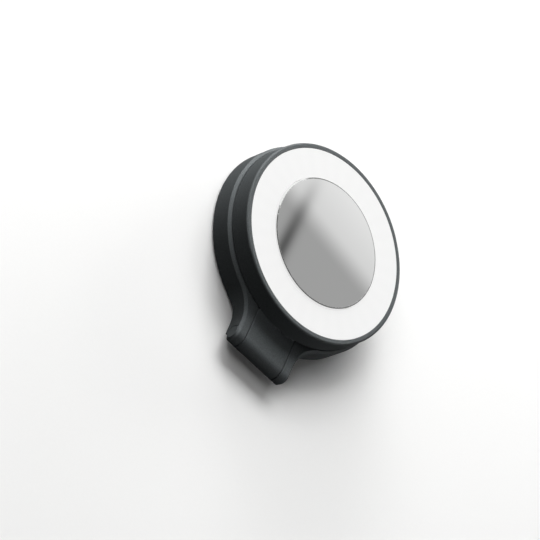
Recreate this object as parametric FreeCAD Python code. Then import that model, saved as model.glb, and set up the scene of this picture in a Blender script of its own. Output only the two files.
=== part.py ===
"""Magnetic fold-out ring light with a mirror in the middle, modelled as a bench-strippable assembly.

Frame, in millimetres: the origin is the centre of the magnetic contact face, +Z points out of the light,
X runs along the hinge pin, and the hinge is on the -Y side. The model stands at rest with the head closed.
"""

import FreeCAD
import Part
import math
import os

V = FreeCAD.Vector
X, Y, Z = V(1, 0, 0), V(0, 1, 0), V(0, 0, 1)
OUT = "parts"
EPS = 0.02                      # a cutter passes a face by this much
FULL_TURN = 360.0

# Magnetic base: a disc with two hinge ears
BASE_R = 28.6
BASE_Z0, BASE_Z1 = 0.6, 7.05    # foot of the side wall, flat top
BASE_CHAMFER = 0.7
BASE_WALL = 1.3
BASE_TOP = 1.0                  # thickness of the top plate
PAD_R = 28.0
COVER_R, COVER_T = 27.2, 0.6    # closing plate under the magnets
EAR_X = 10.0                    # outer faces of the ears
NECK_R = 10.45                  # hollow curve from the disc into an ear
RELIEF_R = 28.8                 # the ears' underside starts to rise here, at 45 degrees

# Hinge
HINGE_Y, HINGE_Z = -36.45, 4.5
BARREL_R = (BASE_Z1 - HINGE_Z)
EAR_Z0 = HINGE_Z - BARREL_R
TONGUE_X = 6.92                 # half width of the head's hinge tongue
SIDE_GAP = 0.2                  # between the tongue and each ear
EDGE_BREAK = 0.12
PIN_R = 1.25
CAP_R, CAP_T = 2.05, 0.8
CAP_GAP = 0.07
SLEEVE_R = 1.85
SLEEVE_PLAY = 0.02
SLEEVE_X0, SLEEVE_X1 = 0.8, 6.8

# Pocket in the base for the inner end of the tongue
POCKET_Y = -22.1
POCKET_Z = 4.25
POCKET_WALL = 1.0
POCKET_FLOOR = 0.7
POCKET_ROUND = 0.9
TONGUE_Y1 = -22.5
TONGUE_STEP_Y = -29.6
TONGUE_STEP_Z = 4.45
TONGUE_STEP_R, TONGUE_NOSE_R = 1.8, 0.5
TONGUE_ROOT_R = 0.3             # hollow where the tongue's top meets the head's wall
ROOT_GAP = 0.05

# Magnets, held to the size that phones and cases carry
MAGNET_R0, MAGNET_R1 = 23.0, 27.0
MAGNET_T, YOKE_T = 1.8, 0.4
MAGNET_COUNT = 18
MAGNET_GAP = 0.25
MAGNET_CLEAR = 0.05

# Light head
HEAD_R = 27.7
HEAD_Z0, HEAD_Z1 = 7.3, 13.2
HEAD_TOP_ROUND, HEAD_FOOT_CHAMFER = 0.5, 0.1
HEAD_BORE, HEAD_BORE_CHAMFER = 26.3, 0.06
LEDGE_R, LEDGE_T = 25.4, 0.8    # carries the outer edge of the diffuser
REAR_R, REAR_T = 26.6, 0.8
DIFFUSER_R0, DIFFUSER_R1 = 18.1, 26.25
DIFFUSER_Z0, DIFFUSER_Z1 = 11.95, 13.17
DIFFUSER_CHAMFER = 0.05
MIRROR_R, MIRROR_T, MIRROR_Z1 = 17.95, 1.0, 13.6
MIRROR_BEVEL_W, MIRROR_BEVEL_H = 0.35, 0.1
TAPE_R, TAPE_T = 17.4, 0.2

# White tray behind the diffuser, and the lamps in it
TRAY_Z0, TRAY_FLOOR = 8.7, 0.4
TRAY_R0, TRAY_R1 = 18.4, 24.6
TRAY_WALL = 0.7
TRAY_OUTER_Z1 = 11.1
TRAY_PLATE = 0.8                # plate under the mirror
BOARD_T = 0.6
LED_RING_R = 21.6
LED_L, LED_W, LED_H = 3.2, 2.6, 0.7
LED_MARK = 0.5
LED_SLOTS = 30

# Charging port, on the side away from the hinge
PORT_W, PORT_H, PORT_L = 8.94, 3.16, 7.3
PORT_SHELL = 0.25
PORT_Z = 9.85
PORT_Y1 = 27.35                 # the shell's mouth, just inside the head's wall
PORT_OPENING_GAP = 0.12
PORT_NOTCH_X = 4.9
CONTACT_W, CONTACT_T, CONTACT_L = 6.69, 0.7, 4.45

# Power button, on the +X side
BUTTON_Z = 9.9
BUTTON_W, BUTTON_H = 8.6, 2.2
BUTTON_PROUD = 0.35
BUTTON_GAP = 0.1
BUTTON_TRAVEL = 0.3
FLANGE_W, FLANGE_X0, FLANGE_X1 = 10.4, 25.15, 25.65
SWITCH_W, SWITCH_D, SWITCH_H = 4.6, 2.2, 1.5
SWITCH_X1 = 23.8                # front face of the switch body

# Battery and control board
BATTERY_X, BATTERY_Y0, BATTERY_Y1 = 12.0, -13.4, 5.6
BATTERY_Z0, BATTERY_T = 8.15, 3.0
FOAM_T = 0.3
CONTROL_Y0, CONTROL_R, CONTROL_T = 6.3, 18.1, 0.8
POST_R, POST_X, POST_Y = 1.2, 9.5, 9.5
LEAD_R, LEAD_BEND_R = 0.22, 0.6
BATTERY_LEAD_X = (-10.5, -9.7)
LED_LEAD_Y, LED_LEAD_PITCH = 18.8, 0.48

# Fasteners
SCREW_R, SCREW_HEAD_R, SCREW_HEAD_H = 0.7, 1.25, 0.55
SCREW_CROSS_L, SCREW_CROSS_W, SCREW_CROSS_H = 1.4, 0.26, 0.3
HEAD_SCREW_R, HEAD_SCREW_L = 25.3, 3.0
HEAD_SCREW_ANGLES = (30, 150, 210, 330)
HEAD_BOSS_R = 1.25
BASE_SCREW_R, BASE_SCREW_L = 18.5, 3.2
BASE_SCREW_ANGLES = (45, 135, 225, 315)
BASE_BOSS_R = 2.0


def polar(radius, degrees, z=0.0):
    """The point at a radius and angle round the Z axis."""
    angle = math.radians(degrees)
    return V(radius * math.cos(angle), radius * math.sin(angle), z)


def ring(r0, r1, z0, z1):
    """A flat ring, or a disc if r0 is 0."""
    body = Part.makeCylinder(r1, z1 - z0, V(0, 0, z0))
    if r0 > 0:
        body = body.cut(Part.makeCylinder(r0, z1 - z0 + 2 * EPS, V(0, 0, z0 - EPS)))
    return body


def turned(profile):
    """A solid turned round Z from a closed outline of (radius, z) points."""
    points = [V(r, 0, z) for r, z in profile]
    return Part.Face(Part.makePolygon(points + points[:1])).revolve(V(0, 0, 0), Z, FULL_TURN)


def box(x0, x1, y0, y1, z0, z1):
    """A box between two corners."""
    return Part.makeBox(x1 - x0, y1 - y0, z1 - z0, V(x0, y0, z0))


def racetrack(width, height, z, y0, y1):
    """A bar along Y whose section is a slot, flat above and below and round at the sides."""
    r, half = height / 2, (width - height) / 2
    a, b, c, d = V(-half, y0, z - r), V(half, y0, z - r), V(half, y0, z + r), V(-half, y0, z + r)
    edges = [
        Part.LineSegment(a, b).toShape(),
        Part.Arc(b, V(half + r, y0, z), c).toShape(),
        Part.LineSegment(c, d).toShape(),
        Part.Arc(d, V(-half - r, y0, z), a).toShape(),
    ]
    return Part.Face(Part.Wire(edges)).extrude(V(0, y1 - y0, 0))


def turned_to_x(shape):
    """The same shape turned so that what pointed along +Y points along +X."""
    copy = shape.copy()
    copy.rotate(V(0, 0, 0), Z, -90)
    return copy


def around_hinge(profile):
    """A solid turned round the hinge pin from (x, radius) points."""
    points = [V(x, HINGE_Y, HINGE_Z + r) for x, r in profile]
    face = Part.Face(Part.makePolygon(points + points[:1]))
    return face.revolve(V(0, HINGE_Y, HINGE_Z), X, FULL_TURN)


def hinge_rod(radius, x0, x1):
    """A round bar on the hinge axis."""
    return Part.makeCylinder(radius, x1 - x0, V(x0, HINGE_Y, HINGE_Z), X)


def from_hinge(point):
    """How far a point is from the hinge axis."""
    return math.hypot(point.y - HINGE_Y, point.z - HINGE_Z)


def middle_of(edge):
    """The point half way along an edge."""
    return edge.valueAt((edge.FirstParameter + edge.LastParameter) / 2)


def break_hinge_edges(body, side_x):
    """Breaks the top and round edges that face the joint between the tongue and an ear."""
    chosen = []
    for edge in body.Edges:
        mid = middle_of(edge)
        if abs(abs(mid.x) - side_x) > 1e-4 or abs(edge.tangentAt(edge.FirstParameter).x) > 1e-4:
            continue
        on_top = abs(mid.z - BASE_Z1) < 1e-4 and HINGE_Y < mid.y < -BASE_R
        on_end = mid.y < HINGE_Y and abs(from_hinge(mid) - BARREL_R) < 1e-3
        if on_top or on_end:
            chosen.append(edge)
    return body.makeChamfer(EDGE_BREAK, chosen)


def screw(length):
    """A countersunk screw with a cross recess, its head's face at z 0, pointing up."""
    head = Part.makeCone(SCREW_HEAD_R, SCREW_R, SCREW_HEAD_H)
    shank = Part.makeCylinder(SCREW_R, length)
    point = [e for e in shank.Edges if abs(middle_of(e).z - length) < 1e-6]
    shank = shank.makeChamfer(SCREW_R / 3, point)
    half_w, half_l = SCREW_CROSS_W / 2, SCREW_CROSS_L / 2
    slots = [
        box(-half_l, half_l, -half_w, half_w, -EPS, SCREW_CROSS_H),
        box(-half_w, half_w, -half_l, half_l, -EPS, SCREW_CROSS_H),
    ]
    return head.fuse(shank).cut(slots).removeSplitter()


def screw_set(length, radius, angles, z):
    """Identical screws on a circle."""
    return Part.makeCompound([screw(length).translate(polar(radius, a, z)) for a in angles])


def countersinks(length, radius, angles, z):
    """Cutters for the holes that a set of screws sits in."""
    cutters = []
    for a in angles:
        seat = Part.makeCone(SCREW_HEAD_R, SCREW_R, SCREW_HEAD_H, polar(radius, a, z))
        bore = Part.makeCylinder(SCREW_R, length + 0.1, polar(radius, a, z - EPS))
        cutters.append(seat.fuse(bore))
    return cutters


def posts(post_r, radius, angles, z0, z1):
    """Round posts on a circle."""
    return [Part.makeCylinder(post_r, z1 - z0, polar(radius, a, z0)) for a in angles]


# Base

def base_outline():
    """The disc and both ears from above, as one face at the foot of the wall."""
    cx = EAR_X + NECK_R
    cy = -math.sqrt((BASE_R + NECK_R) ** 2 - cx ** 2)
    share = BASE_R / (BASE_R + NECK_R)
    lean = math.atan2(-cy, cx) / 2

    def at(x, y):
        return V(x, y, BASE_Z0)

    def neck(side):
        on_disc, on_ear = at(side * cx * share, cy * share), at(side * EAR_X, cy)
        hollow = at(side * (cx - NECK_R * math.cos(lean)), cy + NECK_R * math.sin(lean))
        return on_disc, hollow, on_ear

    left_disc, left_hollow, left_ear = neck(-1)
    right_disc, right_hollow, right_ear = neck(1)
    left_end, right_end = at(-EAR_X, HINGE_Y), at(EAR_X, HINGE_Y)
    edges = [
        Part.Arc(left_disc, at(0, BASE_R), right_disc).toShape(),
        Part.Arc(right_disc, right_hollow, right_ear).toShape(),
        Part.LineSegment(right_ear, right_end).toShape(),
        Part.LineSegment(right_end, left_end).toShape(),
        Part.LineSegment(left_end, left_ear).toShape(),
        Part.Arc(left_ear, left_hollow, left_disc).toShape(),
    ]
    return Part.Face(Part.Wire(edges))


def barrel():
    """The round end of both ears, chamfered at its outer faces."""
    return around_hinge([
        (-EAR_X, 0), (-EAR_X, BARREL_R - BASE_CHAMFER), (-EAR_X + BASE_CHAMFER, BARREL_R),
        (EAR_X - BASE_CHAMFER, BARREL_R), (EAR_X, BARREL_R - BASE_CHAMFER), (EAR_X, 0),
    ])


def base_block():
    """The base before it is hollowed: chamfered round its top edge, with the rounded ear ends."""
    block = base_outline().extrude(V(0, 0, BASE_Z1 - BASE_Z0))
    rim = [
        e for e in block.Edges
        if all(abs(v.Z - BASE_Z1) < 1e-6 for v in e.Vertexes) and middle_of(e).y > HINGE_Y + EPS
    ]
    block = block.makeChamfer(BASE_CHAMFER, rim)
    rise = EAR_Z0 - BASE_Z0
    far = 2 * BASE_R
    relief = turned([
        (RELIEF_R, BASE_Z0 - 1), (RELIEF_R, BASE_Z0), (RELIEF_R + rise, EAR_Z0),
        (far, EAR_Z0), (far, BASE_Z0 - 1),
    ])
    return block.cut(relief).fuse(barrel()).removeSplitter()


def base_cavity():
    """The room inside the base, less the walls of the tongue's pocket, the ribs and the bosses."""
    inner_r, ceiling = BASE_R - BASE_WALL, BASE_Z1 - BASE_TOP
    room = ring(0, inner_r, BASE_Z0 - EPS, ceiling)
    pocket_x = TONGUE_X + SIDE_GAP + POCKET_WALL
    pocket = box(-pocket_x, pocket_x, -BASE_R, POCKET_Y + POCKET_WALL, POCKET_Z - POCKET_FLOOR, ceiling)
    seat_z = BASE_Z0 + COVER_T
    hoop = ring(MAGNET_R0 - 1.0, MAGNET_R0 - 0.1, seat_z, ceiling)
    room = room.cut([pocket, hoop] + posts(BASE_BOSS_R, BASE_SCREW_R, BASE_SCREW_ANGLES, seat_z, ceiling))
    rib_z = ceiling - 1.6
    spoke = box(4.0, MAGNET_R0 - 0.5, -0.4, 0.4, rib_z, ceiling)
    for k in range(6):
        arm = spoke.copy()
        arm.rotate(V(0, 0, 0), Z, k * 60)
        room = room.cut(arm)
    return room.cut(ring(0, 4.5, rib_z, ceiling))


def base_shell():
    """The outer body of the base: top, wall, ears and the pocket for the tongue."""
    slot_x = TONGUE_X + SIDE_GAP
    far_y = HINGE_Y - 2 * BARREL_R
    slot = box(-slot_x, slot_x, far_y, POCKET_Y, POCKET_Z, BASE_Z1 + 1)
    slot = slot.makeFillet(POCKET_ROUND, edges_at(slot, POCKET_Y))
    outer_slot = box(-slot_x, slot_x, far_y, -BASE_R / 2, BASE_Z0 - 1, BASE_Z1 + 1)
    outer_slot = outer_slot.cut(ring(0, BASE_R, BASE_Z0 - 2, BASE_Z1 + 2))
    shell = base_block().cut(base_cavity()).cut(slot.fuse(outer_slot))
    shell = break_hinge_edges(shell.removeSplitter(), slot_x)
    bores = [hinge_rod(PIN_R, -EAR_X - 1, EAR_X + 1)]
    bores += [hinge_rod(CAP_R, EAR_X - CAP_T, EAR_X + 1), hinge_rod(CAP_R, -EAR_X - 1, -EAR_X + CAP_T)]
    holes = posts(SCREW_R, BASE_SCREW_R, BASE_SCREW_ANGLES, BASE_Z0, BASE_Z0 + BASE_SCREW_L + 0.1)
    return shell.cut(bores + holes)


def bottom_cover():
    """The thin plate that closes the base under the magnets."""
    plate = ring(0, COVER_R, BASE_Z0, BASE_Z0 + COVER_T)
    return plate.cut(countersinks(BASE_SCREW_L, BASE_SCREW_R, BASE_SCREW_ANGLES, BASE_Z0))


def contact_pad():
    """The soft pad that touches the phone, with a shallow groove where the magnets pull hardest."""
    pad = ring(0, PAD_R, 0, BASE_Z0)
    foot = [e for e in pad.Edges if abs(middle_of(e).z) < 1e-6]
    groove = ring(MAGNET_R0 - 0.6, MAGNET_R0 - 0.1, -EPS, 0.2)
    return pad.makeFillet(0.2, foot).cut(groove)


def magnet_ring():
    """Arc magnets side by side in a circle, each its own solid."""
    z0 = BASE_Z0 + COVER_T + MAGNET_CLEAR
    pitch = FULL_TURN / MAGNET_COUNT
    span = pitch - math.degrees(MAGNET_GAP / MAGNET_R1)
    magnets = []
    for k in range(MAGNET_COUNT):
        wedge = Part.makeCylinder(MAGNET_R1, MAGNET_T, V(0, 0, z0), Z, span)
        wedge = wedge.cut(Part.makeCylinder(MAGNET_R0, MAGNET_T + 2 * EPS, V(0, 0, z0 - EPS)))
        wedge.rotate(V(0, 0, 0), Z, k * pitch)
        magnets.append(wedge)
    return Part.makeCompound(magnets)


def magnet_yoke():
    """The steel ring on the magnets that turns their pull towards the phone."""
    z0 = BASE_Z0 + COVER_T + MAGNET_CLEAR + MAGNET_T
    return ring(MAGNET_R0, MAGNET_R1, z0, z0 + YOKE_T)


def pin_cap(side):
    """The round plug that hides one end of the hinge pin, with the ear's own chamfer round its rim."""
    inner, outer = sorted((side * (EAR_X - CAP_T), side * EAR_X))
    return hinge_rod(CAP_R - CAP_GAP, inner, outer).common(barrel())


# Head

def tongue_profile():
    """The side view of the hinge tongue, from its barrel to the end inside the base's pocket."""
    def at(y, z):
        return V(-TONGUE_X, y, z)

    top, foot, nose = at(HINGE_Y, BASE_Z1), at(HINGE_Y, EAR_Z0), at(HINGE_Y - BARREL_R, HINGE_Z)
    corners = [
        top, at(TONGUE_Y1, BASE_Z1), at(TONGUE_Y1, TONGUE_STEP_Z),
        at(TONGUE_STEP_Y, TONGUE_STEP_Z), at(TONGUE_STEP_Y, EAR_Z0), foot,
    ]
    edges = [Part.LineSegment(a, b).toShape() for a, b in zip(corners, corners[1:])]
    edges.append(Part.Arc(foot, nose, top).toShape())
    return Part.Face(Part.Wire(edges))


def edges_at(body, y, z=None):
    """The edges of a shape that run along X at a given y and z, or along Z at a given y."""
    found = []
    for edge in body.Edges:
        mid, way = middle_of(edge), edge.tangentAt(edge.FirstParameter)
        along = way.z if z is None else way.x
        if abs(along) > 0.999 and abs(mid.y - y) < 1e-4 and (z is None or abs(mid.z - z) < 1e-4):
            found.append(edge)
    return found


def tongue_root(gap):
    """The block that joins the tongue to the head's wall. With a gap it is the back plate's notch."""
    half, y1 = TONGUE_X + gap, TONGUE_Y1 + gap
    block = box(-half, half, -HEAD_R, y1, TONGUE_STEP_Z, HEAD_Z0 + REAR_T)
    block = block.makeFillet(POCKET_ROUND, edges_at(block, y1))
    return block.common(ring(0, HEAD_R, TONGUE_STEP_Z, HEAD_Z0 + REAR_T))


def tongue():
    """The tongue and knuckle that carry the head on the hinge pin."""
    body = tongue_profile().extrude(V(2 * TONGUE_X, 0, 0))
    body = break_hinge_edges(body, TONGUE_X)
    body = body.makeFillet(TONGUE_STEP_R, edges_at(body, TONGUE_STEP_Y, EAR_Z0))
    body = body.makeFillet(POCKET_ROUND, edges_at(body, TONGUE_Y1))
    body = body.makeFillet(TONGUE_NOSE_R, edges_at(body, TONGUE_Y1, TONGUE_STEP_Z))
    return body.cut(hinge_rod(SLEEVE_R, -TONGUE_X - 1, TONGUE_X + 1))


def rear_cover():
    """The head's back plate, notched round the root of the tongue."""
    top_z = HEAD_Z0 + REAR_T
    plate = ring(0, REAR_R, HEAD_Z0, top_z)
    plate = plate.makeChamfer(EDGE_BREAK, [e for e in plate.Edges if abs(middle_of(e).z - HEAD_Z0) < 1e-6])
    rib = ring(TRAY_R0 + 3.4, TRAY_R0 + 4.2, top_z, TRAY_Z0).cut(
        box(-PORT_NOTCH_X, PORT_NOTCH_X, 0, HEAD_R, top_z - EPS, TRAY_Z0 + EPS))
    stands = [Part.makeCylinder(POST_R, PORT_Z - CONTROL_T / 2 - top_z, V(x, POST_Y, top_z))
              for x in (-POST_X, POST_X)]
    body = plate.fuse([rib] + stands).removeSplitter()
    seats = countersinks(HEAD_SCREW_L, HEAD_SCREW_R, HEAD_SCREW_ANGLES, HEAD_Z0)
    return body.cut([tongue_root(ROOT_GAP)] + seats)


def wall_arcs(body, z):
    """The edges that run round the head's wall at one height."""
    found = []
    for edge in body.Edges:
        mid = middle_of(edge)
        on_wall = abs(math.hypot(mid.x, mid.y) - HEAD_R) < 1e-4
        level = abs(edge.tangentAt(edge.FirstParameter).z) < 1e-4
        if on_wall and level and abs(mid.z - z) < 1e-4:
            found.append(edge)
    return found


def head_shell():
    """The head's outer ring and hinge tongue: wall, rim, ledge under the diffuser, and screw bosses."""
    ledge_z = DIFFUSER_Z0 - LEDGE_T
    rear_z = HEAD_Z0 + REAR_T
    body = turned([
        (HEAD_R - HEAD_FOOT_CHAMFER, HEAD_Z0), (HEAD_R, HEAD_Z0 + HEAD_FOOT_CHAMFER),
        (HEAD_R, HEAD_Z1), (HEAD_BORE + HEAD_BORE_CHAMFER, HEAD_Z1), (HEAD_BORE, HEAD_Z1 - HEAD_BORE_CHAMFER),
        (HEAD_BORE, DIFFUSER_Z0), (LEDGE_R, DIFFUSER_Z0), (LEDGE_R, ledge_z),
        (HEAD_BORE, ledge_z), (HEAD_BORE, rear_z),
        (REAR_R + 0.05, rear_z), (REAR_R + 0.05, HEAD_Z0),
    ])
    body = body.fuse(posts(HEAD_BOSS_R, HEAD_SCREW_R, HEAD_SCREW_ANGLES, rear_z, DIFFUSER_Z0))
    holes = posts(SCREW_R, HEAD_SCREW_R, HEAD_SCREW_ANGLES, HEAD_Z0, HEAD_Z0 + HEAD_SCREW_L + 0.1)
    gap = 2 * PORT_OPENING_GAP
    port = racetrack(PORT_W + gap, PORT_H + gap, PORT_Z, LEDGE_R - 1, HEAD_R + 1)
    gap = 2 * BUTTON_GAP
    button = turned_to_x(racetrack(BUTTON_W + gap, BUTTON_H + gap, BUTTON_Z, LEDGE_R, HEAD_R + 1))
    body = body.removeSplitter().cut(holes + [port, button])
    body = body.fuse([tongue_root(0), tongue()]).removeSplitter()
    body = body.makeFillet(HEAD_TOP_ROUND, wall_arcs(body, HEAD_Z1))
    return body.makeFillet(TONGUE_ROOT_R, wall_arcs(body, BASE_Z1))


def diffuser():
    """The opal ring in front of the lamps."""
    shoulder_z = DIFFUSER_Z1 - DIFFUSER_CHAMFER
    return turned([
        (DIFFUSER_R0, DIFFUSER_Z0), (DIFFUSER_R1, DIFFUSER_Z0), (DIFFUSER_R1, shoulder_z),
        (DIFFUSER_R1 - DIFFUSER_CHAMFER, DIFFUSER_Z1), (DIFFUSER_R0 + DIFFUSER_CHAMFER, DIFFUSER_Z1),
        (DIFFUSER_R0, shoulder_z),
    ])


def mirror():
    """The round mirror with a shallow bevel."""
    z0 = MIRROR_Z1 - MIRROR_T
    return turned([
        (0, z0), (MIRROR_R, z0), (MIRROR_R, MIRROR_Z1 - MIRROR_BEVEL_H),
        (MIRROR_R - MIRROR_BEVEL_W, MIRROR_Z1), (0, MIRROR_Z1),
    ])


def mirror_tape():
    """The foam tape that holds the mirror."""
    z1 = MIRROR_Z1 - MIRROR_T
    return ring(0, TAPE_R, z1 - TAPE_T, z1)


def light_tray():
    """The white tray that holds the lamp board and carries the mirror on its raised centre."""
    plate_z1 = MIRROR_Z1 - MIRROR_T - TAPE_T
    plate_z0 = plate_z1 - TRAY_PLATE
    floor_z1 = TRAY_Z0 + TRAY_FLOOR
    wall_r = TRAY_R0 + TRAY_WALL
    body = turned([
        (0, plate_z0), (TRAY_R0, plate_z0), (TRAY_R0, TRAY_Z0), (TRAY_R1, TRAY_Z0),
        (TRAY_R1 + TRAY_WALL, TRAY_OUTER_Z1), (TRAY_R1, TRAY_OUTER_Z1), (TRAY_R1 - TRAY_WALL, floor_z1),
        (wall_r, floor_z1), (wall_r, DIFFUSER_Z0), (MIRROR_R, DIFFUSER_Z0),
        (MIRROR_R, plate_z1), (0, plate_z1),
    ])
    notch = box(-PORT_NOTCH_X, PORT_NOTCH_X, CONTROL_Y0, HEAD_R, TRAY_Z0 - EPS, plate_z0)
    bosses = posts(HEAD_BOSS_R + 0.2, HEAD_SCREW_R, HEAD_SCREW_ANGLES, TRAY_Z0 - 1, DIFFUSER_Z0)
    half = FLANGE_W / 2 + 0.3
    gate = box(TRAY_R1 - 3, HEAD_R, -half, half, floor_z1, DIFFUSER_Z0)
    return body.cut(bosses + [notch, gate])


def led_board():
    """The ring-shaped lamp board, open where the charging port passes."""
    z0 = TRAY_Z0 + TRAY_FLOOR
    r0, r1 = TRAY_R0 + TRAY_WALL + 0.1, TRAY_R1 - TRAY_WALL - 0.05
    notch = box(-PORT_NOTCH_X, PORT_NOTCH_X, 0, HEAD_R, z0 - EPS, z0 + BOARD_T + EPS)
    bosses = posts(HEAD_BOSS_R + 0.2, HEAD_SCREW_R, HEAD_SCREW_ANGLES, z0 - 1, z0 + 2)
    return ring(r0, r1, z0, z0 + BOARD_T).cut([notch] + bosses)


def led_angles():
    """Every lamp's angle, leaving out those at the charging port and the power switch."""
    pitch = FULL_TURN / LED_SLOTS
    port_angle, switch_angle = 90.0, 0.0
    angles = [pitch * (k + 0.5) for k in range(LED_SLOTS)]

    def clear(angle, centre):
        return abs((angle - centre + 180) % FULL_TURN - 180) > pitch

    return [a for a in angles if clear(a, port_angle) and clear(a, switch_angle)]


def leds(which):
    """Every second lamp: set 0 is warm, set 1 is cool. A cut corner marks each one's polarity."""
    z0 = TRAY_Z0 + TRAY_FLOOR + BOARD_T
    half_l, half_w = LED_L / 2, LED_W / 2
    corners = [(half_l, -half_w), (half_l, half_w - LED_MARK), (half_l - LED_MARK, half_w), (-half_l, half_w),
               (-half_l, -half_w)]
    points = [V(x, y, z0) for x, y in corners]
    outline = Part.Face(Part.makePolygon(points + points[:1]))
    lamps = []
    for angle in led_angles()[which::2]:
        lamp = outline.extrude(V(0, 0, LED_H))
        lamp.translate(V(LED_RING_R, 0, 0))
        lamp.rotate(V(0, 0, 0), Z, angle)
        lamps.append(lamp)
    return Part.makeCompound(lamps)


def button_switch():
    """The side switch behind the power button, soldered to the lamp board."""
    z0 = TRAY_Z0 + TRAY_FLOOR + BOARD_T
    half = SWITCH_W / 2
    body = box(SWITCH_X1 - SWITCH_D, SWITCH_X1, -half, half, z0, z0 + SWITCH_H)
    plunger = box(SWITCH_X1, SWITCH_X1 + 0.4, -0.8, 0.8, z0 + 0.2, z0 + 1.1)
    return body.fuse(plunger).removeSplitter()


def power_button():
    """The button: a curved cap through the head's wall, a flange behind it, and a stub for the switch."""
    cap = turned_to_x(racetrack(BUTTON_W, BUTTON_H, BUTTON_Z, FLANGE_X0, HEAD_R + BUTTON_PROUD + 1))
    cap = cap.common(ring(0, HEAD_R + BUTTON_PROUD, 0, HEAD_Z1))
    rim = [e for e in cap.Edges if min(math.hypot(v.X, v.Y) for v in e.Vertexes) > HEAD_R]
    cap = cap.makeChamfer(0.2, rim)
    half_w, half_h = FLANGE_W / 2, BUTTON_H / 2
    flange = box(FLANGE_X0, FLANGE_X1, -half_w, half_w, BUTTON_Z - half_h, BUTTON_Z + half_h - 0.15)
    z0 = TRAY_Z0 + TRAY_FLOOR + BOARD_T
    stub = box(SWITCH_X1 + 0.4 + BUTTON_TRAVEL + 0.05, FLANGE_X0 + EPS, -1.0, 1.0, z0 + 0.3, z0 + 1.0)
    return cap.fuse([flange, stub]).removeSplitter()


def usb_c_port():
    """The charging port's metal shell, with its closed back."""
    y0 = PORT_Y1 - PORT_L
    outer = racetrack(PORT_W, PORT_H, PORT_Z, y0, PORT_Y1)
    skin = 2 * PORT_SHELL
    return outer.cut(racetrack(PORT_W - skin, PORT_H - skin, PORT_Z, y0 + 0.9, PORT_Y1 + 1))


def usb_contact_tongue():
    """The contact tongue inside the charging port."""
    y0 = PORT_Y1 - PORT_L + 0.9
    half = CONTACT_W / 2
    skin = 2 * PORT_SHELL + 0.04
    block = racetrack(PORT_W - skin, PORT_H - skin, PORT_Z, y0, y0 + 1.0)
    blade = box(-half, half, y0, y0 + 1.0 + CONTACT_L, PORT_Z - CONTACT_T / 2, PORT_Z + CONTACT_T / 2)
    return block.fuse(blade).removeSplitter()


def control_board():
    """The half-moon board that charges the battery and drives the lamps, ending at the port."""
    z0 = PORT_Z - CONTROL_T / 2
    moon = ring(0, CONTROL_R, z0, z0 + CONTROL_T)
    moon = moon.common(box(-CONTROL_R, CONTROL_R, CONTROL_Y0, CONTROL_R, z0, z0 + CONTROL_T))
    arm_x = PORT_NOTCH_X - 0.4
    return moon.fuse(box(-arm_x, arm_x, CONTROL_Y0, PORT_Y1 - PORT_L, z0, z0 + CONTROL_T)).removeSplitter()


def board_components():
    """The chips and the coil on the control board, each its own solid."""
    z0 = PORT_Z + CONTROL_T / 2
    chips = [(-6.5, 9.0, 4.0, 4.0, 0.8), (0.5, 9.2, 3.0, 3.0, 0.7), (6.8, 9.2, 3.6, 3.6, 1.0),
             (-3.2, 13.6, 2.0, 1.2, 0.6), (2.4, 13.6, 2.0, 1.2, 0.6), (5.2, 13.2, 1.2, 0.8, 0.5)]
    return Part.makeCompound([
        box(x - w / 2, x + w / 2, y - d / 2, y + d / 2, z0, z0 + h) for x, y, w, d, h in chips])


def battery():
    """The flat battery behind the mirror."""
    cell = box(-BATTERY_X, BATTERY_X, BATTERY_Y0, BATTERY_Y1, BATTERY_Z0, BATTERY_Z0 + BATTERY_T)
    corners = [e for e in cell.Edges if abs(e.tangentAt(0).z) > 0.9]
    cell = cell.makeFillet(1.2, corners)
    flats = [e for e in cell.Edges if abs(e.tangentAt(e.FirstParameter).z) < 0.1]
    return cell.makeFillet(0.5, flats)


def battery_foam():
    """The foam that keeps the battery from rattling."""
    z0, inset = BATTERY_Z0 + BATTERY_T, 2.0
    return box(-BATTERY_X + inset, BATTERY_X - inset, BATTERY_Y0 + inset, BATTERY_Y1 - inset, z0, z0 + FOAM_T)


def wire(start, end, along):
    """A round wire between two points, in the same direction at both, with two equal bends between."""
    gap = end - start
    reach = gap.dot(along)
    across = gap - along * reach
    turn = math.acos(1 - across.Length / (2 * LEAD_BEND_R))
    straight = along * (reach / 2 - LEAD_BEND_R * math.sin(turn))
    across.normalize()
    half = along * math.sin(turn / 2) * LEAD_BEND_R + across * (1 - math.cos(turn / 2)) * LEAD_BEND_R
    bend0, middle, bend1 = start + straight, start + gap / 2, end - straight
    path = Part.Wire([
        Part.LineSegment(start, bend0).toShape(),
        Part.Arc(bend0, bend0 + half, middle).toShape(),
        Part.Arc(middle, bend1 - half, bend1).toShape(),
        Part.LineSegment(bend1, end).toShape(),
    ])
    section = Part.Wire(Part.makeCircle(LEAD_R, start, along))
    return path.makePipeShell([section], True, True)


def battery_leads():
    """Two wires from the battery to the control board."""
    y0, y1 = BATTERY_Y1 + 0.01, CONTROL_Y0 + 1.6
    z = PORT_Z + CONTROL_T / 2 + LEAD_R
    return Part.makeCompound([wire(V(x, y0, z), V(x + 0.7, y1, z), Y) for x in BATTERY_LEAD_X])


def led_leads():
    """Three wires from the control board over the tray's notch to the lamp board."""
    x0, x1 = -PORT_NOTCH_X + 0.6, -PORT_NOTCH_X - 1.5
    z0, z1 = PORT_Z + CONTROL_T / 2 + LEAD_R, TRAY_Z0 + TRAY_FLOOR + BOARD_T + LEAD_R
    ys = [LED_LEAD_Y + LED_LEAD_PITCH * k for k in range(3)]
    return Part.makeCompound([wire(V(x0, y, z0), V(x1, y, z1), -X) for y in ys])


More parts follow.
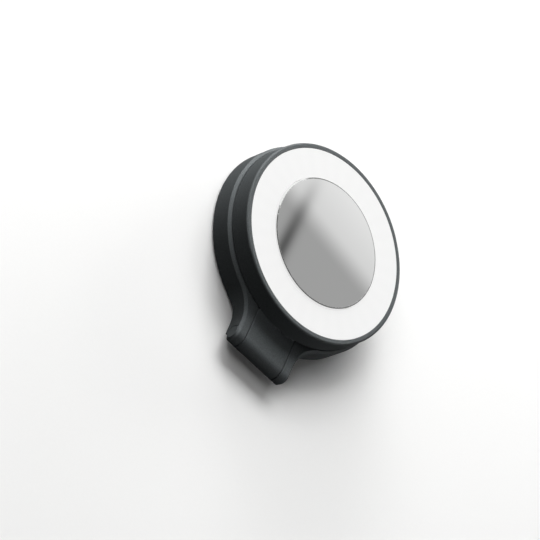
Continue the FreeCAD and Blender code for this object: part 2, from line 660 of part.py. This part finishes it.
def friction_sleeves():
    """Two split spring sleeves that grip the pin and hold the head at any angle."""
    slit_half = 0.3
    sleeves = []
    for side in (-1, 1):
        x0, x1 = sorted((side * SLEEVE_X0, side * SLEEVE_X1))
        tube = hinge_rod(SLEEVE_R, x0, x1).cut(hinge_rod(PIN_R + SLEEVE_PLAY, x0 - 1, x1 + 1))
        slit = box(x0 - 1, x1 + 1, HINGE_Y - slit_half, HINGE_Y + slit_half, HINGE_Z - BARREL_R, HINGE_Z)
        sleeves.append(tube.cut(slit))
    return Part.makeCompound(sleeves)


NODES = {
    "base_shell": base_shell,
    "bottom_cover": bottom_cover,
    "contact_pad": contact_pad,
    "magnet_ring": magnet_ring,
    "magnet_yoke": magnet_yoke,
    "base_screws": lambda: screw_set(BASE_SCREW_L, BASE_SCREW_R, BASE_SCREW_ANGLES, BASE_Z0),
    "hinge_pin": lambda: hinge_rod(PIN_R, -EAR_X + CAP_T, EAR_X - CAP_T),
    "pin_cap_left": lambda: pin_cap(-1),
    "pin_cap_right": lambda: pin_cap(1),
    "friction_sleeves": friction_sleeves,
    "rear_cover": rear_cover,
    "head_shell": head_shell,
    "head_screws": lambda: screw_set(HEAD_SCREW_L, HEAD_SCREW_R, HEAD_SCREW_ANGLES, HEAD_Z0),
    "diffuser": diffuser,
    "mirror": mirror,
    "mirror_tape": mirror_tape,
    "light_tray": light_tray,
    "led_board": led_board,
    "warm_leds": lambda: leds(0),
    "cool_leds": lambda: leds(1),
    "button_switch": button_switch,
    "power_button": power_button,
    "usb_c_port": usb_c_port,
    "usb_contact_tongue": usb_contact_tongue,
    "control_board": control_board,
    "board_components": board_components,
    "battery": battery,
    "battery_foam": battery_foam,
    "battery_leads": battery_leads,
    "led_leads": led_leads,
}


def main():
    """Builds every node, checks that it is sound, and writes one STEP file for each."""
    os.makedirs(OUT, exist_ok=True)
    for name, make in NODES.items():
        shape = make()
        if not shape.isValid() or not shape.Solids or any(s.Volume <= 0 for s in shape.Solids):
            raise SystemExit(f"{name} is not a sound solid")
        shape.exportStep(os.path.join(OUT, name + ".step"))
        print(f"{name}: {len(shape.Solids)} solid(s), {shape.Volume:.1f} mm3")


main()
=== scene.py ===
"""The looks of the magnetic fold-out ring light: materials, small pieces, floor, lights and camera."""

import math

import bmesh
import bpy
from mathutils import Matrix, Vector


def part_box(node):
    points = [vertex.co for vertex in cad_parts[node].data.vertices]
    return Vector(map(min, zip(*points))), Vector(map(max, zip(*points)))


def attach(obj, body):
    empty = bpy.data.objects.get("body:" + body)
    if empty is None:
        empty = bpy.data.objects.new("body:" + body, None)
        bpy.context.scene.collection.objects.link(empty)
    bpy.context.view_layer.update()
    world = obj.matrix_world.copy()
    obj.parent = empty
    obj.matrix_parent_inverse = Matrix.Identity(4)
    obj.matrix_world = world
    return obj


MM = 0.001

# Lit parts and housing
GLOW_WHITE = (1.0, 1.0, 0.995)
OPAL_GLOW, OPAL_RIPPLE = 0.63, 0.004
OPAL_BODY = (0.22, 0.22, 0.22)
SLATE_SHEEN = (0.93, 1.02, 1.05)
NOISE_LOW, NOISE_HIGH = 0.3, 0.7            # the range that a noise mostly stays in

# Heights in the mirror glass, in millimetres below its face
# The side band is where the mirror's frosted side gets its painted glow
SIDE_FROM, SIDE_FULL = 0.10, 0.13
BEVEL_FROM, BEVEL_FULL = 0.005, 0.02

# Contacts of the charging socket, in millimetres
BLADE_THICK = 0.7
CONTACT_COUNT, CONTACT_PITCH, CONTACT_WIDTH, CONTACT_LENGTH = 12, 0.5, 0.25, 3.4
CONTACT_PROUD, CONTACT_SUNK, CONTACT_CORNER, CONTACT_SETBACK = 0.03, 0.01, 0.1, 0.35

# Windows of the lamps, in millimetres
LAMP_PLACES, LAMP_RING = 30, 21.6
LAMP_GAPS = (0, 90, 360)                    # bearings in degrees where places are left empty
WINDOW_LENGTH, WINDOW_WIDTH, WINDOW_CORNER = 2.5, 1.9, 0.35
WINDOW_PROUD, WINDOW_SUNK, WINDOW_SOFTEN = 0.06, 0.02, 0.04
CORNER_STEPS = 4

# Floor
FLOOR_HALF = 6.0                            # metres
FLOOR_CLEAR = 0.4                           # millimetres left under the opened head

# Surroundings
WORLD_LIGHT = 0.03
BACKDROP = 0.78
MIRROR_HORIZON, MIRROR_ZENITH = 0.62, 0.16
SKY_LOW, SKY_HIGH = -0.2, 1.0               # heights of the view between which the sky darkens
CARD_FROM, CARD_FULL = 0.985, 0.997         # how closely a view must follow the camera's to see the cards
PANEL_EDGE = (39.3, 2.31)                   # bearing of the edge's normal in the camera's view, and its place
PANEL_BLUR, PANEL_LIGHT, PANEL_SLOPE = 0.44, 0.675, 0.107
CARD_LIGHT = 0.375
STRIP_LINE = (-27.3, 0.03)
STRIP_WIDTH, STRIP_DEPTH, STRIP_END = 0.27, 0.70, (1.0, 4.4)

# Soft boxes, in metres: name, bearing, height in degrees, power in watts, and whether the mirror shows it
SOFT_BOX, LIGHT_REACH = 0.45, 1.0
LIGHTS = (
    ("far_right_low", 60, 5, 9.6, False),
    ("far_left_low", 120, 5, 12.6, False),
    ("far_left", 120, 25, 2.95, False),
    ("far_left_high", 120, 45, 4.9, False),
    ("far_high", 90, 45, 4.2, False),
    ("glint", 90, 45, 0.75, True),
    ("left_back", 150, 25, 1.7, False),
    ("left_high", 180, 45, 2.4, False),
    ("right_low", 330, 5, 1.9, False),
    ("right", 0, 5, 0.85, False),
    ("near_low", 290, 20, 0.25, False),
)

# Camera, in metres
LENS_MM, SENSOR_MM = 186.6, 36.0
CLIP_START, CLIP_END = 0.01, 50
CAMERA_AT = (-0.3093, -0.4454, 0.5148)
CAMERA_RIGHT = (0.6629, 0.3298, 0.6722)
CAMERA_UP = (-0.6255, 0.7374, 0.2550)


# Node helpers

class Shader:
    """A material's node tree, with one Principled shader ready to be fed."""

    def __init__(self, name):
        self.material = bpy.data.materials.new(name)
        self.material.use_nodes = True
        self.tree = self.material.node_tree
        self.tree.nodes.clear()
        self.bsdf = self.add("ShaderNodeBsdfPrincipled")
        self.output = self.add("ShaderNodeOutputMaterial")
        self.link(self.bsdf.outputs["BSDF"], self.output.inputs["Surface"])
        self.coords = self.add("ShaderNodeTexCoord").outputs["Object"]

    def add(self, kind, **settings):
        node = self.tree.nodes.new(kind)
        for key, value in settings.items():
            setattr(node, key, value)
        return node

    def link(self, a, b):
        self.tree.links.new(a, b)

    def feed(self, socket, value):
        """Puts a number, a colour or another node's output into a socket."""
        if isinstance(value, bpy.types.NodeSocket):
            self.link(value, socket)
        elif isinstance(value, (tuple, list)) and len(value) == 3 and socket.type == "RGBA":
            socket.default_value = (*value, 1.0)
        else:
            socket.default_value = value

    def set(self, **values):
        for key, value in values.items():
            self.feed(self.bsdf.inputs[key.replace("_", " ")], value)

    def math(self, operation, a, b=0.0, c=0.0):
        node = self.add("ShaderNodeMath", operation=operation)
        for socket, value in zip(node.inputs, (a, b, c)):
            self.feed(socket, value)
        return node.outputs[0]

    def noise(self, size_mm, detail=3.0, roughness=0.5, stretch=(1, 1, 1)):
        """Noise whose features are about this many millimetres across."""
        mapping = self.add("ShaderNodeMapping")
        self.link(self.coords, mapping.inputs["Vector"])
        mapping.inputs["Scale"].default_value = stretch
        node = self.add("ShaderNodeTexNoise")
        self.link(mapping.outputs[0], node.inputs["Vector"])
        node.inputs["Scale"].default_value = 1 / (size_mm * MM)
        node.inputs["Detail"].default_value = detail
        node.inputs["Roughness"].default_value = roughness
        return node.outputs["Fac"]

    def cells(self, size_mm, feature="F1"):
        node = self.add("ShaderNodeTexVoronoi", feature=feature)
        self.link(self.coords, node.inputs["Vector"])
        node.inputs["Scale"].default_value = 1 / (size_mm * MM)
        return node.outputs["Distance"]

    def between(self, value, low, high, to_low=0.0, to_high=1.0):
        """Maps a value's range to another, and stops at its ends."""
        node = self.add("ShaderNodeMapRange", clamp=True)
        keys = ("Value", "From Min", "From Max", "To Min", "To Max")
        for key, item in zip(keys, (value, low, high, to_low, to_high)):
            self.feed(node.inputs[key], item)
        return node.outputs[0]

    def spread(self, noise, low, high):
        """A noise spread evenly from low to high."""
        return self.between(noise, NOISE_LOW, NOISE_HIGH, low, high)

    def blend(self, factor, a, b):
        node = self.add("ShaderNodeMix", data_type="RGBA")
        self.feed(node.inputs["Factor"], factor)
        self.feed([s for s in node.inputs if s.name == "A" and s.type == "RGBA"][0], a)
        self.feed([s for s in node.inputs if s.name == "B" and s.type == "RGBA"][0], b)
        return [s for s in node.outputs if s.type == "RGBA"][0]

    def bump(self, height, depth_mm, strength=1.0, normal=None):
        node = self.add("ShaderNodeBump")
        node.inputs["Strength"].default_value = strength
        node.inputs["Distance"].default_value = depth_mm * MM
        self.link(height, node.inputs["Height"])
        if normal is not None:
            self.link(normal, node.inputs["Normal"])
        return node.outputs[0]

    def soft_edges(self, radius_mm):
        node = self.add("ShaderNodeBevel", samples=6)
        node.inputs["Radius"].default_value = radius_mm * MM
        return node.outputs[0]

    def axes(self):
        split = self.add("ShaderNodeSeparateXYZ")
        self.link(self.coords, split.inputs[0])
        return split.outputs


def shade(colour, share):
    """A colour with each of its channels times a share: darker below 1 and lighter above."""
    return tuple(c * share for c in colour)


# Materials

def slate(name, colour=(0.0465, 0.051, 0.0525), grain_depth=0.006):
    """Dark slate housing: soft satin, with a fine grain, faint mottling and softened edges."""
    s = Shader(name)
    grain = s.noise(0.30, detail=4, roughness=0.65)
    drift = s.noise(9.0, detail=3)
    pale = s.blend(drift, shade(colour, 1.22), shade(colour, 1.28))
    deep = s.blend(drift, shade(colour, 0.74), shade(colour, 0.78))
    tone = s.blend(s.between(grain, 0.36, 0.64), deep, pale)
    soft = s.soft_edges(0.09)
    s.set(Base_Color=tone, Metallic=0.0, Roughness=s.spread(drift, 0.655, 0.685),
          Specular_IOR_Level=0.5, Specular_Tint=SLATE_SHEEN,
          Normal=s.bump(grain, grain_depth, 0.6, soft))
    return s.material


def plastic(name, colour, roughness=0.45, grain=0.25, depth=0.006):
    """Moulded plastic with a light spark-eroded grain."""
    s = Shader(name)
    fine = s.noise(grain, detail=3)
    wide = s.noise(6.0)
    s.set(Base_Color=s.blend(wide, shade(colour, 0.95), shade(colour, 1.05)),
          Roughness=s.spread(fine, roughness - 0.05, roughness + 0.07),
          Normal=s.bump(fine, depth, 0.6))
    return s.material


def metal(name, colour, roughness=0.3, stretch=(1, 1, 1), depth=0.003):
    """Bare or plated metal with machining marks along one way."""
    s = Shader(name)
    marks = s.noise(0.5, detail=5, roughness=0.7, stretch=stretch)
    wide = s.noise(3.0)
    s.set(Base_Color=s.blend(wide, shade(colour, 0.92), shade(colour, 1.05)), Metallic=1.0,
          Roughness=s.spread(marks, roughness - 0.08, roughness + 0.1),
          Normal=s.bump(marks, depth, 0.5))
    return s.material


def silicone(name, colour):
    """Soft matt pad with a fine powdery surface."""
    s = Shader(name)
    fine = s.noise(0.1, detail=3)
    wide = s.noise(4.0)
    s.set(Base_Color=s.blend(wide, shade(colour, 0.9), shade(colour, 1.1)),
          Roughness=0.72, Sheen_Weight=0.15, Sheen_Roughness=0.5,
          Normal=s.bump(fine, 0.006, 0.6))
    return s.material


def foam(name, colour):
    """Closed-cell foam."""
    s = Shader(name)
    cell = s.cells(0.35)
    s.set(Base_Color=s.blend(cell, shade(colour, 0.6), shade(colour, 1.4)), Roughness=0.9,
          Normal=s.bump(cell, 0.08, 0.8))
    return s.material


def opal(name):
    """Opal diffuser lit from behind, with a barely visible ripple that has one wave for each lamp place."""
    s = Shader(name)
    x, y, _ = s.axes()
    angle = s.math("ARCTAN2", y, x)
    ripple = s.math("SINE", s.math("MULTIPLY", angle, float(LAMP_PLACES)))
    fine = s.noise(0.2)
    glow = s.math("ADD", s.math("MULTIPLY", ripple, OPAL_RIPPLE), OPAL_GLOW)
    s.set(Base_Color=s.blend(fine, (0.20, 0.20, 0.20), OPAL_BODY),
          Roughness=s.spread(fine, 0.5, 0.56), Specular_IOR_Level=0.12,
          Emission_Color=GLOW_WHITE, Emission_Strength=glow,
          Normal=s.bump(fine, 0.002, 0.4))
    return s.material


def silvered(name):
    """Mirror glass: silvered face, slightly wavy bevel, and a frosted side with a painted glow as bright as
    the ring's, standing in for the ring's light in the glass edge.
    """
    s = Shader(name)
    _, _, height = s.axes()
    face_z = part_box("mirror")[1][2]
    side = s.between(height, face_z - SIDE_FULL * MM, face_z - SIDE_FROM * MM, 1.0, 0.0)
    bevel = s.between(height, face_z - BEVEL_FULL * MM, face_z - BEVEL_FROM * MM, 1.0, 0.0)
    haze = s.noise(12.0, detail=2)
    frost = s.noise(0.1, detail=3)
    waves = s.noise(0.9, detail=2)
    silver = s.blend(haze, (0.90, 0.905, 0.90), (0.915, 0.915, 0.91))
    polished = s.blend(bevel, silver, (0.62, 0.63, 0.62))
    frosting = s.bump(s.math("MULTIPLY", frost, side), 0.004, 0.5)
    # The frosted side gets painted light: an emission as strong as the ring's, standing in for the ring's
    # light in the glass edge, though the glass is no lamp
    s.set(Base_Color=s.blend(side, polished, OPAL_BODY),
          Metallic=s.math("SUBTRACT", 1.0, side), Roughness=s.math("MULTIPLY", side, 0.5),
          Emission_Color=GLOW_WHITE, Emission_Strength=s.math("MULTIPLY", side, OPAL_GLOW),
          Normal=s.bump(s.math("MULTIPLY", waves, bevel), 0.05, 1.0, frosting))
    return s.material


def circuit(name, mask, copper):
    """Solder mask over traces."""
    s = Shader(name)
    cell = s.cells(1.6, "DISTANCE_TO_EDGE")
    trace = s.between(cell, 0.03, 0.06, 1.0, 0.0)
    fine = s.noise(0.2)
    s.set(Base_Color=s.blend(trace, mask, copper), Roughness=s.spread(fine, 0.26, 0.36),
          Normal=s.bump(trace, 0.03, 0.5))
    return s.material


def phosphor(name, tint):
    """The lit phosphor window of a lamp."""
    s = Shader(name)
    fine = s.noise(0.12, detail=3)
    s.set(Base_Color=s.blend(s.between(fine, 0.45, 0.55), tint, shade(tint, 0.9)), Roughness=0.35,
          Emission_Color=tint, Emission_Strength=0.25,
          Normal=s.bump(fine, 0.01, 0.4))
    return s.material


def pouch(name):
    """Battery foil: dull silver with shallow creases."""
    s = Shader(name)
    crease = s.noise(2.5, detail=4, roughness=0.6)
    fine = s.noise(0.2)
    s.set(Base_Color=s.blend(crease, (0.55, 0.56, 0.58), (0.70, 0.71, 0.73)), Metallic=0.9,
          Roughness=s.spread(fine, 0.34, 0.46), Normal=s.bump(crease, 0.12, 0.6))
    return s.material


def materials():
    """One material for every CAD node; the housing pieces share theirs."""
    housing = slate("slate_satin")
    return {
        "base_shell": housing,
        "rear_cover": housing,
        "head_shell": housing,
        "pin_cap_left": housing,
        "pin_cap_right": housing,
        "power_button": slate("slate_button", grain_depth=0.004),
        "diffuser": opal("opal_lit"),
        "mirror": silvered("mirror_silver"),
        "contact_pad": silicone("pad_silicone", (0.022, 0.024, 0.026)),
        "bottom_cover": plastic("cover_black", (0.02, 0.02, 0.021)),
        "button_switch": plastic("switch_black", (0.02, 0.02, 0.02), 0.35),
        "usb_contact_tongue": plastic("socket_black", (0.015, 0.015, 0.015), 0.35),
        "board_components": plastic("chip_black", (0.018, 0.018, 0.019), 0.5, 0.15),
        "light_tray": plastic("tray_white", (0.82, 0.82, 0.81), 0.3),
        "magnet_ring": metal("magnet_nickel", (0.66, 0.65, 0.62), 0.25),
        "magnet_yoke": metal("yoke_steel", (0.45, 0.45, 0.46), 0.35),
        "hinge_pin": metal("pin_steel", (0.60, 0.60, 0.61), 0.22, (1, 6, 6)),
        "friction_sleeves": metal("sleeve_bronze", (0.62, 0.42, 0.20), 0.3, (6, 1, 1)),
        "base_screws": metal("screw_black", (0.06, 0.06, 0.065), 0.35),
        "head_screws": metal("screw_black_head", (0.06, 0.06, 0.065), 0.35),
        "usb_c_port": metal("socket_steel", (0.55, 0.55, 0.56), 0.28, (1, 5, 1)),
        "led_board": circuit("board_white", (0.80, 0.80, 0.78), (0.66, 0.66, 0.62)),
        "control_board": circuit("board_green", (0.01, 0.09, 0.045), (0.03, 0.16, 0.08)),
        "warm_leds": plastic("lamp_body_warm", (0.80, 0.79, 0.76), 0.35, 0.15),
        "cool_leds": plastic("lamp_body_cool", (0.80, 0.80, 0.80), 0.35, 0.15),
        "battery": pouch("battery_foil"),
        "mirror_tape": foam("tape_foam", (0.02, 0.02, 0.02)),
        "battery_foam": foam("battery_foam_grey", (0.05, 0.05, 0.055)),
        "battery_leads": plastic("lead_red", (0.45, 0.02, 0.015), 0.35, 0.4),
        "led_leads": plastic("lead_white", (0.72, 0.72, 0.70), 0.35, 0.4),
    }


def dress(nodes):
    """Gives every CAD node its material."""
    chosen = materials()
    for name, node in nodes.items():
        node.data.materials.clear()
        node.data.materials.append(chosen[name])


# Small pieces too fine for the CAD model

def new_piece(name, parts, body, material, soften=0.0):
    """A mesh piece made of plates that rides on a body. Its edges are softened by so many millimetres."""
    mesh = bpy.data.meshes.new(name)
    parts.to_mesh(mesh)
    parts.free()
    mesh.materials.append(material)
    piece = bpy.data.objects.new(name, mesh)
    bpy.context.scene.collection.objects.link(piece)
    if soften:
        edge = piece.modifiers.new("soften", "BEVEL")
        edge.width, edge.segments, edge.limit_method = soften * MM, 2, "ANGLE"
    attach(piece, body)


def plate(into, outline, z0, z1, place=None):
    """Adds a flat plate to a mesh: an outline of (x, y) points between two heights, all in millimetres."""
    place = place or Matrix()
    low = [into.verts.new(place @ (Vector((x, y, z0)) * MM)) for x, y in outline]
    high = [into.verts.new(place @ (Vector((x, y, z1)) * MM)) for x, y in outline]
    into.faces.new(low[::-1])
    into.faces.new(high)
    for i, a in enumerate(low):
        j = (i + 1) % len(low)
        into.faces.new((a, low[j], high[j], high[i]))


def rounded(length, width, radius):
    """The outline of a rectangle with round corners, centred on the origin."""
    points = []
    for corner in range(4):
        middle = math.radians(90 * corner + 45)
        cx = math.copysign(length / 2 - radius, math.cos(middle))
        cy = math.copysign(width / 2 - radius, math.sin(middle))
        for k in range(CORNER_STEPS + 1):
            turn = math.radians(90 * (corner + k / CORNER_STEPS))
            points.append((cx + radius * math.cos(turn), cy + radius * math.sin(turn)))
    return points


def socket_contacts():
    """Two rows of gold contacts on the blade inside the charging socket."""
    (x0, _, z0), (x1, y1, z1) = (tuple(v / MM for v in corner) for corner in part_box("usb_contact_tongue"))
    mid_x, mid_z = (x0 + x1) / 2, (z0 + z1) / 2
    y = y1 - CONTACT_SETBACK - CONTACT_LENGTH / 2
    foot, crown = BLADE_THICK / 2 - CONTACT_SUNK, BLADE_THICK / 2 + CONTACT_PROUD
    rows = bmesh.new()
    for k in range(CONTACT_COUNT):
        x = mid_x + (k - (CONTACT_COUNT - 1) / 2) * CONTACT_PITCH
        for side in (-1, 1):
            low, high = sorted((side * foot, side * crown))
            outline = [(x + a, y + b) for a, b in rounded(CONTACT_WIDTH, CONTACT_LENGTH, CONTACT_CORNER)]
            plate(rows, outline, mid_z + low, mid_z + high)
    gold = metal("contact_gold", (0.83, 0.60, 0.24), 0.25)
    new_piece("socket_contacts", rows, "head", gold)


def lamp_windows():
    """The phosphor window on top of each lamp, warm and cool by turns."""
    kinds = (("warm", (0.90, 0.62, 0.22)), ("cool", (0.90, 0.86, 0.40)))
    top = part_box("warm_leds")[1][2] / MM
    pitch = 360 / LAMP_PLACES
    angles = [pitch * (k + 0.5) for k in range(LAMP_PLACES)]
    angles = [a for a in angles if min(abs(a - gap) for gap in LAMP_GAPS) > pitch]
    for first, (kind, tint) in enumerate(kinds):
        windows = bmesh.new()
        for angle in angles[first::2]:
            place = Matrix.Rotation(math.radians(angle), 4, "Z") @ Matrix.Translation((LAMP_RING * MM, 0, 0))
            outline = rounded(WINDOW_LENGTH, WINDOW_WIDTH, WINDOW_CORNER)
            plate(windows, outline, top - WINDOW_SUNK, top + WINDOW_PROUD, place)
        glass = phosphor("phosphor_" + kind, tint)
        new_piece(kind + "_windows", windows, "head", glass, WINDOW_SOFTEN)


# Stage

def paper():
    """Pale matt floor."""
    s = Shader("floor_paper")
    fibre = s.noise(0.8, detail=4)
    s.set(Base_Color=s.blend(fibre, (0.80, 0.80, 0.795), (0.82, 0.82, 0.815)),
          Roughness=0.85, Specular_IOR_Level=0.2)
    return s.material


def make_floor():
    """A wide floor that the base stands on. It follows the head's far top edge down when that edge goes
    below the base, and stops at the base otherwise."""
    mesh = bpy.data.meshes.new("floor")
    grid = bmesh.new()
    bmesh.ops.create_grid(grid, x_segments=2, y_segments=2, size=FLOOR_HALF)
    grid.to_mesh(mesh)
    grid.free()
    mesh.materials.append(paper())
    floor = bpy.data.objects.new("floor", mesh)
    reach = bpy.data.objects.new("head_reach", None)
    for o in (floor, reach):
        bpy.context.scene.collection.objects.link(o)
    far_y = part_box("head_shell")[1][1]
    top_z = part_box("mirror")[1][2]
    reach.location = (0, far_y, top_z + FLOOR_CLEAR * MM)
    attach(reach, "head")
    follow = floor.constraints.new("COPY_LOCATION")
    follow.target = reach
    follow.use_x = follow.use_y = False
    limit = floor.constraints.new("LIMIT_LOCATION")
    limit.use_max_z = True
    limit.max_z = 0.0
    floor.visible_diffuse = False
    floor.visible_glossy = False


def soft_light(mirror, name, bearing, height, power, in_mirror):
    """A square soft box that shines at the object. The bearing is in degrees from +X towards +Y. The mirror
    is kept out of the light of the boxes that it doesn't show, which would bleach it."""
    data = bpy.data.lights.new(name, "AREA")
    data.shape = "SQUARE"
    data.size = SOFT_BOX
    data.energy = power
    light = bpy.data.objects.new(name, data)
    bpy.context.scene.collection.objects.link(light)
    turn, rise = math.radians(bearing), math.radians(height)
    way = Vector((math.cos(turn) * math.cos(rise), math.sin(turn) * math.cos(rise), math.sin(rise)))
    light.location = way * LIGHT_REACH
    light.rotation_mode = "QUATERNION"
    light.rotation_quaternion = way.to_track_quat("Z", "Y")
    if not in_mirror:
        kept_off = bpy.data.collections.new(name + "_kept_off")
        kept_off.objects.link(mirror)
        kept_off.collection_objects[0].light_linking.link_state = "EXCLUDE"
        light.light_linking.receiver_collection = kept_off


def make_world():
    """Even studio surroundings: the camera sees a pale backdrop, perfectly sharp reflections see painted
    surroundings, and all else gets a weak even light. Where the flat mirror sends the camera's view, the
    painted ones hold a pale panel with a blurred edge and a blurred dark strip. Elsewhere they darken with
    height."""
    world = bpy.data.worlds.new("studio")
    bpy.context.scene.world = world
    world.use_nodes = True
    tree = world.node_tree
    back = tree.nodes["Background"]
    way = tree.nodes.new("ShaderNodeTexCoord").outputs["Generated"]

    def put(socket, value):
        if isinstance(value, bpy.types.NodeSocket):
            tree.links.new(value, socket)
        else:
            socket.default_value = value

    def calc(operation, a, b=0.0, c=0.0):
        node = tree.nodes.new("ShaderNodeMath")
        node.operation = operation
        for socket, value in zip(node.inputs, (a, b, c)):
            put(socket, value)
        return node.outputs[0]

    def along(direction):
        """How far the view goes along a direction once the mirror has turned it over."""
        node = tree.nodes.new("ShaderNodeVectorMath")
        node.operation = "DOT_PRODUCT"
        tree.links.new(way, node.inputs[0])
        node.inputs[1].default_value = (direction[0], direction[1], -direction[2])
        return node.outputs["Value"]

    def ease(value, low, high, to_low=0.0, to_high=1.0):
        node = tree.nodes.new("ShaderNodeMapRange")
        node.interpolation_type = "SMOOTHSTEP"
        for socket, item in zip(node.inputs, (value, low, high, to_low, to_high)):
            put(socket, item)
        return node.outputs[0]

    right, up = Vector(CAMERA_RIGHT), Vector(CAMERA_UP)
    depth = along(up.cross(right))
    x = calc("MULTIPLY", calc("DIVIDE", along(right), depth), 100.0)
    y = calc("MULTIPLY", calc("DIVIDE", along(up), depth), 100.0)

    def past(degrees, at):
        """How far a point of the view is past a line, in hundredths of its distance."""
        turn = math.radians(degrees)
        rise = calc("MULTIPLY", y, math.sin(turn))
        return calc("SUBTRACT", calc("MULTIPLY_ADD", x, math.cos(turn), rise), at)

    panel = past(*PANEL_EDGE)
    bright = calc("MULTIPLY_ADD", panel, PANEL_SLOPE, PANEL_LIGHT)
    lit = ease(panel, -PANEL_BLUR, PANEL_BLUR)
    unlit = calc("MULTIPLY", CARD_LIGHT, calc("SUBTRACT", 1.0, lit))
    card = calc("ADD", calc("MULTIPLY", bright, lit), unlit)
    offset = calc("DIVIDE", past(*STRIP_LINE), STRIP_WIDTH)
    dark = calc("EXPONENT", calc("MULTIPLY", calc("MULTIPLY", offset, offset), -1.0))
    dark = calc("MULTIPLY", dark, ease(past(STRIP_LINE[0] + 90, 0.0), *STRIP_END, 1.0, 0.0))
    card = calc("MULTIPLY", card, calc("MULTIPLY_ADD", dark, -STRIP_DEPTH, 1.0))
    near = ease(depth, CARD_FROM, CARD_FULL)
    split = tree.nodes.new("ShaderNodeSeparateXYZ")
    tree.links.new(way, split.inputs[0])
    sky = ease(split.outputs["Z"], SKY_LOW, SKY_HIGH, MIRROR_HORIZON, MIRROR_ZENITH)
    beyond = calc("MULTIPLY", sky, calc("SUBTRACT", 1.0, near))
    painted = calc("ADD", calc("MULTIPLY", card, near), beyond)
    ray = tree.nodes.new("ShaderNodeLightPath").outputs
    reflected = calc("MULTIPLY", ray["Is Singular Ray"], painted)
    direct = calc("MULTIPLY", ray["Is Camera Ray"], BACKDROP)
    put(back.inputs["Strength"], calc("MAXIMUM", calc("MAXIMUM", reflected, direct), WORLD_LIGHT))
    back.inputs["Color"].default_value = (1, 1, 1, 1)


def make_camera():
    """A long lens, square to the directions that are right and up in the picture."""
    data = bpy.data.cameras.new("camera")
    data.lens = LENS_MM
    data.sensor_width = SENSOR_MM
    data.clip_start, data.clip_end = CLIP_START, CLIP_END
    camera = bpy.data.objects.new("camera", data)
    bpy.context.scene.collection.objects.link(camera)
    right, up = Vector(CAMERA_RIGHT).normalized(), Vector(CAMERA_UP).normalized()
    back = right.cross(up).normalized()
    up = back.cross(right)
    camera.matrix_world = Matrix.Translation(CAMERA_AT) @ Matrix((right, up, back)).transposed().to_4x4()
    bpy.context.scene.camera = camera


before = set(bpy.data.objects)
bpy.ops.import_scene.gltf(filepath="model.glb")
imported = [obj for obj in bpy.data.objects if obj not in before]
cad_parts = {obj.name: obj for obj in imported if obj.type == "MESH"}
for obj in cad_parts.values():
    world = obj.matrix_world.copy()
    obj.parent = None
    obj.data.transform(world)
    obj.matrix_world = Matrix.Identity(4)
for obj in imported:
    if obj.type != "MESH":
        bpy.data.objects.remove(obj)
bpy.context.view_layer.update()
dress(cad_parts)
socket_contacts()
lamp_windows()
make_floor()
make_world()
for settings in LIGHTS:
    soft_light(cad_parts["mirror"], *settings)
make_camera()
bpy.context.scene.view_settings.view_transform = "Standard"
